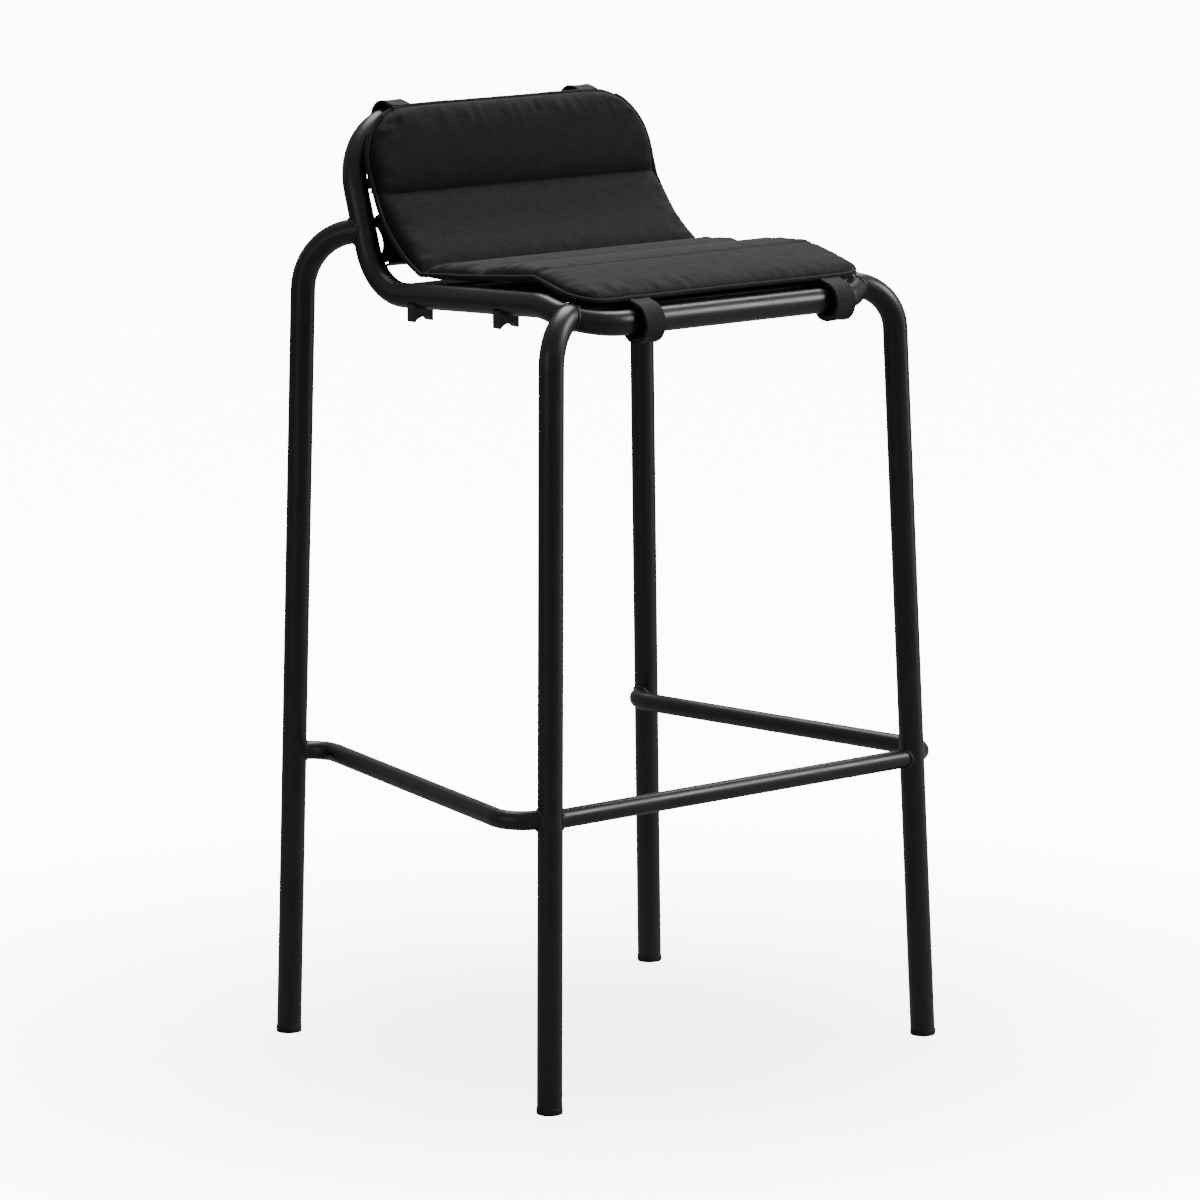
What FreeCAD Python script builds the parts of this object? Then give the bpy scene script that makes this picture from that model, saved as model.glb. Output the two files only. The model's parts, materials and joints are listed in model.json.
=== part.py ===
import FreeCAD, Part
import math
import os

from FreeCAD import Vector

# A welded tubular steel bar stool with a footrest and a strapped-on seat and back pad.
# Millimetres. X to the sitter's left-right, the stool faces -Y, +Z up.
# The origin is on the floor, in the middle of the four feet.

# ---- driving dimensions -------------------------------------------------------------

FRAME_R = 12.5              # outer radius of the frame tube
FRAME_WALL = 2.0
BAR_R = 9.5                 # outer radius of the footrest tube
BAR_WALL = 1.5

# the one bent loop that is both the backrest frame and the seat frame (centre line)
LOOP_HALF_WIDTH = 186.5
SEAT_FRONT = (-202.0, 763.5)        # (y, z) of the straight front tube
SEAT_CREST = (-141.0, 778.5)        # where the sides dip down to the front tube
SEAT_REAR = (124.5, 765.0)          # where the sides turn up into the backrest
BACK_TOP = (178.0, 932.0)           # the straight top tube
FRONT_CORNER_R = 50.0
CREST_R = 80.0
REAR_BEND_R = 59.0
TOP_CORNER_R = 70.0

# legs (left side; the right side is its mirror image)
FRONT_FOOT = Vector(-244.9, -214.9, 0)
FRONT_KNEE = Vector(-220.0, -193.7, 764.8)
FRONT_KNEE_R = 47.0
FRONT_JOINT_ANGLE = 28.6            # degrees round the loop's front corner, from its side
FRONT_JOINT_LIFT = 2.0              # above the loop's centre line
REAR_FOOT = Vector(-240.5, 214.9, 0)
REAR_KNEE = Vector(-219.5, 200.8, 813.3)
REAR_KNEE_R = 63.0
REAR_JOINT_Z = 827.5
LEG_SHORTFALL = 0.3                 # a leg's axis stops this short of the loop's axis

# footrest
FRONT_BAR_Z = 288.0
SIDE_BAR_FRONT_Z = 289.0
SIDE_BAR_REAR_Z = 292.2
SIDE_BAR_REAR_BEND = (-200.8, 204.3)
SIDE_BAR_FRONT_BEND = (-273.2, -185.0)
SIDE_BAR_R = 31.0

# foot glides
GLIDE_BASE = 6.0
GLIDE_PLUG = 22.0
GLIDE_RUN_OUT = 4.0                 # length past the floor that is trimmed off level
GLIDE_FIT = 0.1                     # radial play of the plug in the leg
GLIDE_GROOVES = 3
GLIDE_GROOVE_WIDTH = 1.6
GLIDE_GROOVE_DEPTH = 1.2

# sheet steel slats
SLAT_T = 2.0
SLAT_HALF = 26.0                    # half of a slat's width
SLAT_LIFT = 9.5                     # slat's middle above the loop's centre line
SLAT_FLANGE = 9.0
SLAT_BEND_R = 3.0
SLAT_REACH = 182.0                  # before its ends are shaped to the tube
SLAT_CUTBACK = 173.0                # deepest point of the hollow in a slat's end
SLAT_FLANGE_END = 171.0
SLAT_TAB = 5.0                      # flat width of each of the two corners of an end
SEAT_SLAT_Y = {"rear": 64.0, "mid_rear": -14.0, "mid_front": -89.5}
FRONT_SLAT_Y = -161.5
FRONT_SLAT_HALF = 21.0              # narrower, to leave room for the straps
BACK_SLAT_Z = {"lower": 814.0, "upper": 885.5}

# stacking saddles under the seat sides
SADDLE_Y = {"rear": 54.0, "front": -82.0}
SADDLE_HALF_WIDTH = 12.5
SADDLE_LENGTH = 12.0
SADDLE_DROP = 12.0                  # below the tube
SADDLE_GRIP = 7.0                   # its upper edges, below the tube's centre line
SADDLE_ARCH_R = 14.0
SADDLE_ARCH_RISE = 5.0
SADDLE_EDGE_R = 1.5

# pad
PAD_HALF_WIDTH = 181.0
PAD_FRONT_CORNER_R = 30.0
PAD_TOP_CORNER_R = 60.0

# straps
STRAP_WIDTH = 25.0
STRAP_T = 2.5
STRAP_R = 20.0                      # outer radius of a strap's round part
FRONT_STRAP_CENTRE = (-205.5, 761.0)
FRONT_STRAP_SEAM = (-190.0, 784.0)  # where the strap is sewn into the pad's edge
TOP_STRAP_CENTRE = (174.5, 931.0)
TOP_STRAP_SEAM = (150.0, 941.0)
FRONT_STRAP_X = {"left": -115.0, "right": 130.0}
TOP_STRAP_X = {"left": -127.0, "right": 116.0}
SNAP_R = 6.0
SNAP_T = 2.0
SNAP_SINK = 0.4                     # depth of the stud's middle in the curved strap
SNAP_EDGE_R = 0.9

UP = Vector(0, 0, 1)
ACROSS = Vector(1, 0, 0)


# ---- helpers --------------------------------------------------------------------------

def save(name, shape):
    """Write one sub-part, as the STEP file that carries its name."""
    shape.exportStep("parts/%s.step" % name)
    print("%-24s %8.1f cm3  valid %s  solids %d" % (
        name, shape.Volume / 1000.0, shape.isValid(), len(shape.Solids)))


def mirrored(shape):
    """The same piece on the other side of the stool."""
    return shape.mirror(Vector(0, 0, 0), ACROSS)


def bent_path(points, radii):
    """A wire of straight runs joined by tangent arcs, one radius for each inner point."""
    edges = []
    start = points[0]
    for before, corner, after, radius in zip(points, points[1:], points[2:], radii):
        back = (before - corner).normalize()
        ahead = (after - corner).normalize()
        half_angle = back.getAngle(ahead) / 2.0
        reach = radius / math.tan(half_angle)
        middle = (back + ahead).normalize()
        centre = corner + middle * (radius / math.sin(half_angle))
        arc_start = corner + back * reach
        arc_end = corner + ahead * reach
        if (arc_start - start).Length > 0.001:
            edges.append(Part.LineSegment(start, arc_start).toShape())
        edges.append(Part.Arc(arc_start, centre - middle * radius, arc_end).toShape())
        start = arc_end
    edges.append(Part.LineSegment(start, points[-1]).toShape())
    return Part.Wire(edges)


def rod(points, radii, radius):
    """A solid round bar along a bent path."""
    heading = (points[1] - points[0]).normalize()
    section = Part.Wire(Part.makeCircle(radius, points[0], heading))
    return bent_path(points, radii).makePipeShell([section], True, False)


def tube(points, radii, radius, wall):
    """A hollow round tube along a bent path, open at both ends."""
    return rod(points, radii, radius).cut(rod(points, radii, radius - wall))


def biggest(shape):
    """The largest solid of a cut, without the offcuts."""
    return max(shape.Solids, key=lambda solid: solid.Volume)


def prism_across(outline, half_width):
    """Extrude a (y, z) polygon along X, to both sides of the middle."""
    corners = [Vector(-half_width, y, z) for y, z in outline]
    face = Part.Face(Part.makePolygon(corners + corners[:1]))
    return face.extrude(ACROSS * (2.0 * half_width))


def at_height(foot, knee, height):
    """The point of a leg's centre line at a height."""
    return foot + (knee - foot) * (height / knee.z)


# ---- the loop's centre line -----------------------------------------------------------

def side_z(y):
    """Height of the seat sides' centre line at a depth, between front tube and rear bend."""
    near, far = (SEAT_CREST, SEAT_REAR) if y > SEAT_CREST[0] else (SEAT_FRONT, SEAT_CREST)
    share = (y - near[0]) / (far[0] - near[0])
    return near[1] + share * (far[1] - near[1])


def back_y(z):
    """Depth of the backrest uprights' centre line at a height."""
    share = (z - SEAT_REAR[1]) / (BACK_TOP[1] - SEAT_REAR[1])
    return SEAT_REAR[0] + share * (BACK_TOP[0] - SEAT_REAR[0])


def half_loop_points():
    """Left half of the loop, from the middle of the front tube to the middle of the top."""
    side = -LOOP_HALF_WIDTH
    return [
        Vector(0, *SEAT_FRONT),
        Vector(side, *SEAT_FRONT),
        Vector(side, *SEAT_CREST),
        Vector(side, *SEAT_REAR),
        Vector(side, *BACK_TOP),
        Vector(0, *BACK_TOP),
    ]


LOOP_RADII = [FRONT_CORNER_R, CREST_R, REAR_BEND_R, TOP_CORNER_R]

half_loop_bar = rod(half_loop_points(), LOOP_RADII, FRAME_R)
half_loop_tube = tube(half_loop_points(), LOOP_RADII, FRAME_R, FRAME_WALL)
loop_bar = half_loop_bar.fuse(mirrored(half_loop_bar)).removeSplitter()
loop_tube = half_loop_tube.fuse(mirrored(half_loop_tube)).removeSplitter()


# ---- legs -----------------------------------------------------------------------------

def front_joint():
    """Where a front leg meets the loop's centre line, on the front corner's bend."""
    angle = math.radians(FRONT_JOINT_ANGLE)
    x = -(LOOP_HALF_WIDTH - FRONT_CORNER_R) - FRONT_CORNER_R * math.cos(angle)
    slope = math.atan2(SEAT_CREST[1] - SEAT_FRONT[1], SEAT_CREST[0] - SEAT_FRONT[0])
    along = FRONT_CORNER_R * (1.0 - math.sin(angle))
    y = SEAT_FRONT[0] + along * math.cos(slope)
    z = SEAT_FRONT[1] + along * math.sin(slope) + FRONT_JOINT_LIFT
    return Vector(x, y, z)


def rear_joint():
    """Where a rear leg meets the upright's centre line."""
    return Vector(-LOOP_HALF_WIDTH, back_y(REAR_JOINT_Z), REAR_JOINT_Z)


def leg(foot, knee, joint, knee_r):
    """The leg as a full bar and as a tube, both shaped to the loop at the top."""
    axis = (knee - foot).normalize()
    start = foot + axis * GLIDE_BASE
    end = joint - (joint - knee).normalize() * LEG_SHORTFALL
    route = [start, knee, end]
    bar = rod(route, [knee_r], FRAME_R)
    hollow = tube(route, [knee_r], FRAME_R, FRAME_WALL)
    return bar, biggest(hollow.cut(loop_bar))


def glide(foot, knee):
    """A plastic foot cap with a ribbed plug inside the tube, level with the floor."""
    axis = (knee - foot).normalize()
    base = Part.makeCylinder(FRAME_R, GLIDE_BASE + GLIDE_RUN_OUT, foot - axis * GLIDE_RUN_OUT, axis)
    plug_r = FRAME_R - FRAME_WALL - GLIDE_FIT
    plug = Part.makeCylinder(plug_r, GLIDE_PLUG, foot + axis * GLIDE_BASE, axis)
    cap = base.fuse(plug)
    pitch = GLIDE_PLUG / (GLIDE_GROOVES + 1)
    for number in range(GLIDE_GROOVES):
        start = foot + axis * (GLIDE_BASE + pitch * (number + 1))
        groove = Part.makeCylinder(FRAME_R, GLIDE_GROOVE_WIDTH, start, axis)
        core = Part.makeCylinder(plug_r - GLIDE_GROOVE_DEPTH, GLIDE_GROOVE_WIDTH, start, axis)
        cap = cap.cut(groove.cut(core))
    reach = 2.0 * FRAME_R
    below_floor = Part.makeBox(2.0 * reach, 2.0 * reach, reach, foot - Vector(reach, reach, reach))
    return cap.cut(below_floor)


front_leg_bar, front_leg = leg(FRONT_FOOT, FRONT_KNEE, front_joint(), FRONT_KNEE_R)
rear_leg_bar, rear_leg = leg(REAR_FOOT, REAR_KNEE, rear_joint(), REAR_KNEE_R)
front_glide = glide(FRONT_FOOT, FRONT_KNEE)
rear_glide = glide(REAR_FOOT, REAR_KNEE)


# ---- footrest -------------------------------------------------------------------------

def front_bar():
    """The straight bar that the feet rest on, between the front legs."""
    left = at_height(FRONT_FOOT, FRONT_KNEE, FRONT_BAR_Z)
    right = Vector(-left.x, left.y, left.z)
    section = tube([left, right], [], BAR_R, BAR_WALL)
    return biggest(section.cut(front_leg_bar).cut(mirrored(front_leg_bar)))


def side_bar():
    """A side bar: inside the rear leg, outside the front leg, with a bend at each end."""
    rear_end = at_height(REAR_FOOT, REAR_KNEE, SIDE_BAR_REAR_Z)
    front_end = at_height(FRONT_FOOT, FRONT_KNEE, SIDE_BAR_FRONT_Z)
    route = [
        rear_end,
        Vector(*SIDE_BAR_REAR_BEND, SIDE_BAR_REAR_Z),
        Vector(*SIDE_BAR_FRONT_BEND, SIDE_BAR_FRONT_Z),
        front_end,
    ]
    section = tube(route, [SIDE_BAR_R, SIDE_BAR_R], BAR_R, BAR_WALL)
    return biggest(section.cut(front_leg_bar).cut(rear_leg_bar))


# ---- slats ----------------------------------------------------------------------------

def flat_slat(half):
    """A slat lying level at the origin: folded long edges, hollow ends with two corners."""
    flat_half = half - SLAT_BEND_R
    low = -SLAT_T / 2.0
    corner_tab = flat_half - SLAT_TAB
    edges = []
    for side in (-1, 1):
        near = Vector(side * SLAT_REACH, -side * flat_half, low)
        tab_in = Vector(side * SLAT_REACH, -side * corner_tab, low)
        hollow = Vector(side * SLAT_CUTBACK, 0, low)
        tab_out = Vector(side * SLAT_REACH, side * corner_tab, low)
        far = Vector(side * SLAT_REACH, side * flat_half, low)
        edges.append(Part.LineSegment(near, tab_in).toShape())
        edges.append(Part.Arc(tab_in, hollow, tab_out).toShape())
        edges.append(Part.LineSegment(tab_out, far).toShape())
        edges.append(Part.LineSegment(far, Vector(-far.x, far.y, low)).toShape())
    plate = Part.Face(Part.Wire(edges)).extrude(UP * SLAT_T)
    for side in (-1, 1):
        plate = plate.fuse(folded_edge(side, flat_half))
    return plate.removeSplitter()


def folded_edge(side, flat_half):
    """One folded long edge: a quarter bend and a short flange pointing down."""
    centre_z = SLAT_T / 2.0 - SLAT_BEND_R
    inner_r = SLAT_BEND_R - SLAT_T
    origin = Vector(-SLAT_FLANGE_END, side * flat_half, centre_z)
    length = 2.0 * SLAT_FLANGE_END
    bend = Part.makeCylinder(SLAT_BEND_R, length, origin, ACROSS)
    bend = bend.cut(Part.makeCylinder(inner_r, length, origin, ACROSS))
    corner = Vector(-SLAT_FLANGE_END, min(0, side * SLAT_BEND_R), 0)
    quarter = Part.makeBox(length, SLAT_BEND_R, SLAT_BEND_R, corner + Vector(0, origin.y, centre_z))
    flange_y = side * (flat_half + SLAT_BEND_R) - max(0, side * SLAT_T)
    flange_corner = Vector(-SLAT_FLANGE_END, flange_y, SLAT_T / 2.0 - SLAT_FLANGE)
    flange = Part.makeBox(length, SLAT_T, SLAT_FLANGE - SLAT_BEND_R, flange_corner)
    return bend.common(quarter).fuse(flange)


def straight_run(near, far):
    """A straight bar along one run of the loop's left side, from corner to corner."""
    start = Vector(-LOOP_HALF_WIDTH, *near)
    run = Vector(-LOOP_HALF_WIDTH, *far) - start
    return Part.makeCylinder(FRAME_R, run.Length, start, run)


def place_slat(y, z, near, far, half=SLAT_HALF):
    """Lay a slat across one run of the loop's sides and shape its ends to the tube."""
    slope = math.degrees(math.atan2(far[1] - near[1], far[0] - near[0]))
    slat = flat_slat(half)
    slat.translate(Vector(0, 0, SLAT_LIFT))
    slat.rotate(Vector(0, 0, 0), ACROSS, slope)
    slat.translate(Vector(0, y, z))
    run = straight_run(near, far)
    return biggest(slat.cut(loop_bar).cut(run).cut(mirrored(run)))


# ---- stacking saddles -----------------------------------------------------------------

def saddle(y):
    """A block under the seat side, arched below to sit on the next stool's side tube."""
    top = side_z(y) - SADDLE_GRIP
    bottom = side_z(y) - FRAME_R - SADDLE_DROP
    corner = Vector(-LOOP_HALF_WIDTH - SADDLE_HALF_WIDTH, y - SADDLE_LENGTH / 2.0, bottom)
    block = Part.makeBox(2.0 * SADDLE_HALF_WIDTH, SADDLE_LENGTH, top - bottom, corner)
    upright = [edge for edge in block.Edges if abs(edge.tangentAt(edge.FirstParameter).z) > 0.9]
    block = block.makeFillet(SADDLE_EDGE_R, upright)
    arch_centre = Vector(-LOOP_HALF_WIDTH, y - SADDLE_LENGTH, bottom + SADDLE_ARCH_RISE - SADDLE_ARCH_R)
    arch = Part.makeCylinder(SADDLE_ARCH_R, 2.0 * SADDLE_LENGTH, arch_centre, Vector(0, 1, 0))
    return biggest(block.cut(arch).cut(loop_bar))


# ---- pad ------------------------------------------------------------------------------

# (y, z) outlines; the fold between seat and back is the edge that they share
FOLD_UNDER = (61.5, 782.5)
FOLD_TOP = (52.0, 800.0)
SEAT_PAD_OUTLINE = [
    FOLD_UNDER,
    (-119.0, 790.0),
    (-141.0, 792.0),
    (-190.5, 780.0),
    (-197.0, 785.5),
    (-190.0, 793.0),
    (-120.0, 815.5),
    (-28.0, 806.5),
    FOLD_TOP,
]
BACK_PAD_OUTLINE = [
    FOLD_UNDER,
    (93.4, 803.3),
    (117.7, 827.3),
    (137.0, 858.5),
    (163.0, 943.0),
    (161.0, 947.5),
    (151.0, 947.5),
    (123.3, 866.5),
    (105.8, 839.4),
    (81.5, 815.4),
    FOLD_TOP,
]


def pad_half(outline, corner_r, corner_axis, is_end_corner):
    """One half of the pad: its outline across the full width, with two corners rounded."""
    prism = prism_across(outline, PAD_HALF_WIDTH)
    box = prism.BoundBox
    lowest = Vector(box.XMin, box.YMin, box.ZMin)
    block = Part.makeBox(box.XLength, box.YLength, box.ZLength, lowest)
    corners = []
    for edge in block.Edges:
        along = edge.tangentAt(edge.FirstParameter).dot(corner_axis)
        if abs(along) > 0.9 and is_end_corner(edge.CenterOfMass, box):
            corners.append(edge)
    return prism.common(block.makeFillet(corner_r, corners))


def at_the_front(point, box):
    """Whether a point lies on the front face of a box."""
    return abs(point.y - box.YMin) < 1.0


def at_the_top(point, box):
    """Whether a point lies on the top face of a box."""
    return abs(point.z - box.ZMax) < 1.0


seat_pad = pad_half(SEAT_PAD_OUTLINE, PAD_FRONT_CORNER_R, UP, at_the_front)
back_pad = pad_half(BACK_PAD_OUTLINE, PAD_TOP_CORNER_R, Vector(0, 1, 0), at_the_top)


# ---- straps ---------------------------------------------------------------------------

def teardrop(x, centre, radius, tip):
    """A bar across the strap's width: round about a centre, drawn out to a tip."""
    start = Vector(x - STRAP_WIDTH / 2.0, *centre)
    round_part = Part.makeCylinder(radius, STRAP_WIDTH, start, ACROSS)
    reach = Vector(0, *tip) - Vector(0, *centre)
    opening = math.degrees(math.acos(radius / reach.Length))
    corners = [start + reach]
    for turn in (-opening, opening):
        spoke = FreeCAD.Rotation(ACROSS, turn).multVec(reach).normalize() * radius
        corners.append(start + spoke)
    corners.insert(2, start)
    wedge = Part.Face(Part.makePolygon(corners + corners[:1])).extrude(ACROSS * STRAP_WIDTH)
    return round_part.fuse(wedge).removeSplitter()


def strap(x, centre, seam, pad):
    """A fabric loop round a tube, both ends sewn into the edge of the pad."""
    reach = Vector(0, *seam) - Vector(0, *centre)
    inner_tip = Vector(0, *centre) + reach * ((STRAP_R - STRAP_T) / STRAP_R)
    band = teardrop(x, centre, STRAP_R, seam)
    hole = teardrop(x, centre, STRAP_R - STRAP_T, (inner_tip.y, inner_tip.z))
    return biggest(band.cut(hole).cut(pad))


def snap(x, centre, direction):
    """A press stud that closes a strap, on the outside of its loop."""
    outward = Vector(0, *direction).normalize()
    seat = Vector(x, *centre) + outward * (STRAP_R - SNAP_SINK)
    button = Part.makeCylinder(SNAP_R, SNAP_T, seat, outward)
    rims = [edge for edge in button.Edges if abs(edge.Length - 2 * math.pi * SNAP_R) < 0.1]
    rim = max(rims, key=lambda edge: (edge.CenterOfMass - seat).dot(outward))
    button = button.makeFillet(SNAP_EDGE_R, [rim])
    start = Vector(x - STRAP_WIDTH / 2.0, *centre)
    return button.cut(Part.makeCylinder(STRAP_R, STRAP_WIDTH, start, ACROSS))


REAR_AND_DOWN = (0.8, -0.6)
STRAIGHT_BACK = (1.0, 0.0)


# ---- write every sub-part --------------------------------------------------------------

os.makedirs("parts", exist_ok=True)

save("seat_back_loop", loop_tube)
for side, place in (("left", lambda shape: shape), ("right", mirrored)):
    save("front_leg_" + side, place(front_leg))
    save("rear_leg_" + side, place(rear_leg))
    save("foot_glide_front_" + side, place(front_glide))
    save("foot_glide_rear_" + side, place(rear_glide))
    save("footrest_side_bar_" + side, place(side_bar()))
    for row, y in SADDLE_Y.items():
        save("stacking_saddle_%s_%s" % (row, side), place(saddle(y)))
save("footrest_front_bar", front_bar())

for row, y in SEAT_SLAT_Y.items():
    save("seat_slat_" + row, place_slat(y, side_z(y), SEAT_CREST, SEAT_REAR))
front_slat_z = side_z(FRONT_SLAT_Y)
front_slat = place_slat(FRONT_SLAT_Y, front_slat_z, SEAT_FRONT, SEAT_CREST, FRONT_SLAT_HALF)
save("seat_slat_front", front_slat)
for row, z in BACK_SLAT_Z.items():
    save("back_slat_" + row, place_slat(back_y(z), z, SEAT_REAR, BACK_TOP))

save("seat_pad", seat_pad)
save("back_pad", back_pad)

snaps = []
for side, x in FRONT_STRAP_X.items():
    save("front_strap_" + side, strap(x, FRONT_STRAP_CENTRE, FRONT_STRAP_SEAM, seat_pad))
    snaps.append(snap(x, FRONT_STRAP_CENTRE, REAR_AND_DOWN))
for side, x in TOP_STRAP_X.items():
    save("top_strap_" + side, strap(x, TOP_STRAP_CENTRE, TOP_STRAP_SEAM, back_pad))
    snaps.append(snap(x, TOP_STRAP_CENTRE, STRAIGHT_BACK))
save("strap_snaps", Part.makeCompound(snaps))
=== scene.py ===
import json
import math

import bpy
from mathutils import Matrix, Vector
from mathutils.bvhtree import BVHTree
from mathutils.noise import noise


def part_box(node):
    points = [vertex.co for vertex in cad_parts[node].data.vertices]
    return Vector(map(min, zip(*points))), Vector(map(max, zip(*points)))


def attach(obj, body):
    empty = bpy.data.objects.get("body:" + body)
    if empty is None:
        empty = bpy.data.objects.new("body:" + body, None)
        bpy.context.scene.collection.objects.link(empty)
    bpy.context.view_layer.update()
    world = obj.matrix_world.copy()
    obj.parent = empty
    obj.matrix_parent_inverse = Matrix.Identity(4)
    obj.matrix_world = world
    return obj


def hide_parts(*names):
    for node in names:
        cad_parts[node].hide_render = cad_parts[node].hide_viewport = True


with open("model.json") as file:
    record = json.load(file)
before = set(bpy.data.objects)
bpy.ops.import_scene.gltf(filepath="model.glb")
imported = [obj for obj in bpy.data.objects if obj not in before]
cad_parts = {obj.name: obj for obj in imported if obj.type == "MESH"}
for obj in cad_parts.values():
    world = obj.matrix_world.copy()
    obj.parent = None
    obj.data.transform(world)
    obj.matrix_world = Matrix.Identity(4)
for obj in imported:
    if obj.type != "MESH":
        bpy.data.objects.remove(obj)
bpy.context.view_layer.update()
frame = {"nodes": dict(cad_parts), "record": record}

# A welded steel bar stool with a strapped-on, channel-quilted pad. Metres, facing -Y, +Z up.

# ---- driving sizes ------------------------------------------------------------------------

FRAME_R = 0.0125                    # frame tube
BAR_R = 0.0095                      # footrest tube

# the pad's piping line from front edge to top edge, as (y, z) of each sewn line
PAD_SEAMS = [
    (-0.1943, 0.7856),              # front piping
    (-0.1205, 0.8035),              # fine line where the seat starts to dip
    (-0.0280, 0.7949),              # seat channel
    (0.0595, 0.7890),               # fold between seat and back
    (0.1326, 0.8610),               # back channel
    (0.1589, 0.9449),               # top piping
]
CHANNEL_BOW = [0.0, 0.0, 0.0, -0.0085, -0.0010]    # how far each channel's line bows down or back
CHANNEL_CROWN = [0.0085, 0.0110, 0.0105, 0.0130, 0.0115]    # start height of the upper skin
CHANNEL_BELLY = [0.0045, 0.0060, 0.0060, 0.0055, 0.0055]    # start depth of the lower skin
SEAM_HEIGHT = [0.0, 0.0062, 0.0035, 0.0020, 0.0012, 0.0]    # upper skin above the piping line
SEAM_PINCH = [0.0, 0.0, 0.0016, 0.0006, 0.0012, 0.0]    # how far each line pulls the piping in
PAD_HALF_WIDTH = 0.1803
FRONT_CORNER_R = 0.030
TOP_CORNER_R = 0.060
EDGE_ROUND = 0.015                  # how far in from the piping the pad reaches its full height
SEAM_DEPTH = 0.0018                 # lower skin below the piping line at an inner sewn line
CROWN_FLATNESS = 3.4                # higher keeps the top of a channel flat for longer
CROWN_FULLNESS = 0.55               # lower makes a channel rise faster beside its sewn lines
NORMAL_REACH = 0.012                # how far round a place its normal is evened out
PINCH_REACH = 0.012                 # how far along the edge a sewn line pulls it in
ROW_PITCH = 0.0038
SEAM_ROWS = (0.0, 0.0012, 0.0034)    # rows on and close beside each sewn line
PAD_COLUMNS = 95
SIDE_PACKING = 0.35                 # 0 spaces the columns evenly, 1 packs them most at the sides

# gathers in the top fabric: how far in they lie, how wide a band they fill, their height, and
# how many come to a metre along the seam and away from it
EDGE_GATHER = (0.012, 0.010, 0.0024, 150.0, 22.0)
LINE_GATHER = (0.007, 0.007, 0.0010, 120.0, 20.0)
LINE_GATHER_FADE = 0.02             # the gathers at a sewn line fade out this near the side

SWELL_FRAMES = 20
SWELL_HELD = 0.9995                 # share of the half width past which the edge is held
SMOOTHINGS = 5                      # evens out the simulated movement between neighbours
SMOOTHING_OWN = 0.4                 # share of its own movement that a point keeps each time
PAD_LIVENESS = 0.35                 # how much of the simulated movement is kept
MOST_DRIFT_UP = 0.0022
MOST_DRIFT_DOWN = 0.0015
SKIN_MERGE = 0.00002                # the two skins join where they are nearer than this

PIPING_R = 0.0024
PIPING_LIP = 0.0019                 # the piping stands this far out of the pad's edge
PIPING_PITCH = 0.0022
PIPING_SIDES = 10
PIPING_GIRTH = 0.014                # length of cloth laid round each ring's section
PIPING_WAVER = (0.0006, 28.0)       # height of the cord's waver, and how many to a metre
PIPING_LUMP = (0.00018, 160.0)      # the same for the changes of its radius

STRAP_WIDTH = 0.025
STRAP_T = 0.0026
FRONT_STRAP_CENTRE = (-0.2050, 0.7625)
FRONT_STRAP_SEAM = (-0.1935, 0.7848)
TOP_STRAP_CENTRE = (0.1745, 0.931)
TOP_STRAP_SEAM = (0.1590, 0.9455)
STRAP_R = 0.0184                    # middle of the strap's thickness
STRAP_TURN_STEPS = 30
STRAP_SLACK = 0.018                 # share of the radius by which the strap strays from the round
STRAP_SLACK_TURN = 1.7              # how fast it strays, in radians for each radian round the tube
STRAP_SEED_STEP = 1.3               # keeps each strap's creases different
STRAP_PITCH = 0.0016
STRAP_COLUMNS = 12
STRAP_TRIM = 0.001                  # what the rolled edges take off the width
STRAP_SWAY = 0.0008
STRAP_CUP = 0.0005                  # how far the edges curl away from the tube
STRAP_CREASE = 0.0003
STRAP_EDGE_R = 0.0006
STITCH_R = 0.00028
STITCH_LENGTH = 0.0026
STITCH_OFFSET = 0.0100              # from the middle of the strap to each row of stitches
STITCH_PROUD = 0.3                  # share of its radius that a stitch's middle stands out
STITCH_ENDS = 4                     # route points without a stitch at each end
STITCH_STEP = 2                     # route points from stitch to stitch

# places on the frame where tubes are welded together; the left side is the mirror image
LOOP_HALF_WIDTH = 0.1865
FRONT_BEND_R = 0.050
SEAT_FRONT = (-0.2020, 0.7635)
SEAT_CREST = (-0.1410, 0.7785)
SEAT_REAR = (0.1245, 0.7650)
BACK_TOP = (0.1780, 0.9320)
FRONT_FOOT = (0.2449, -0.2149, 0.0)
FRONT_KNEE = (0.2200, -0.1937, 0.7648)
FRONT_JOINT_ANGLE = 28.6
FRONT_JOINT_LIFT = 0.002
REAR_FOOT = (0.2405, 0.2149, 0.0)
REAR_KNEE = (0.2195, 0.2008, 0.8133)
REAR_JOINT_Z = 0.8275
FRONT_BAR_Z = 0.2880
SIDE_BAR_FRONT_Z = 0.2890
SIDE_BAR_REAR_Z = 0.2922
SIDE_BAR_REAR_BEND = (0.2008, 0.2043)
SIDE_BAR_FRONT_BEND = (0.2732, -0.1850)

WELD_R = 0.0017
WELD_POINTS = 90
WELD_FOUND = 0.8                    # least share of the points that has to meet the other tube
WELD_OUT = 0.0002                   # the bead's middle lies this far off the joining tube's skin
WELD_BACK = 0.03                    # where the search for the other tube starts, before the joint
WELD_AHEAD = 0.02                   # and where it ends, past the joint
WELD_SIDES = 8
WELD_RIPPLE = 0.00022
WELD_RIPPLE_POINTS = 3.0            # bead points to one ripple
WELD_LUMP = (0.00025, 400.0)        # height of the bead's lumps, and how many to a metre

RING_LEAN = Vector((0.0, -0.35, 1.0))    # no ring runs along this
MERGE = 0.000001                    # points nearer than this are one point
TINY = 0.000000001                  # keeps a division by a length from failing

# the rounded lip of each foot glide, a little wider than the leg
LIP_R = 0.0130
LIP_HEIGHT = 0.0062
LIP_ROUND = 0.0009
LIP_BASE = 0.0002
LIP_SIDES = 96

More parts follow.
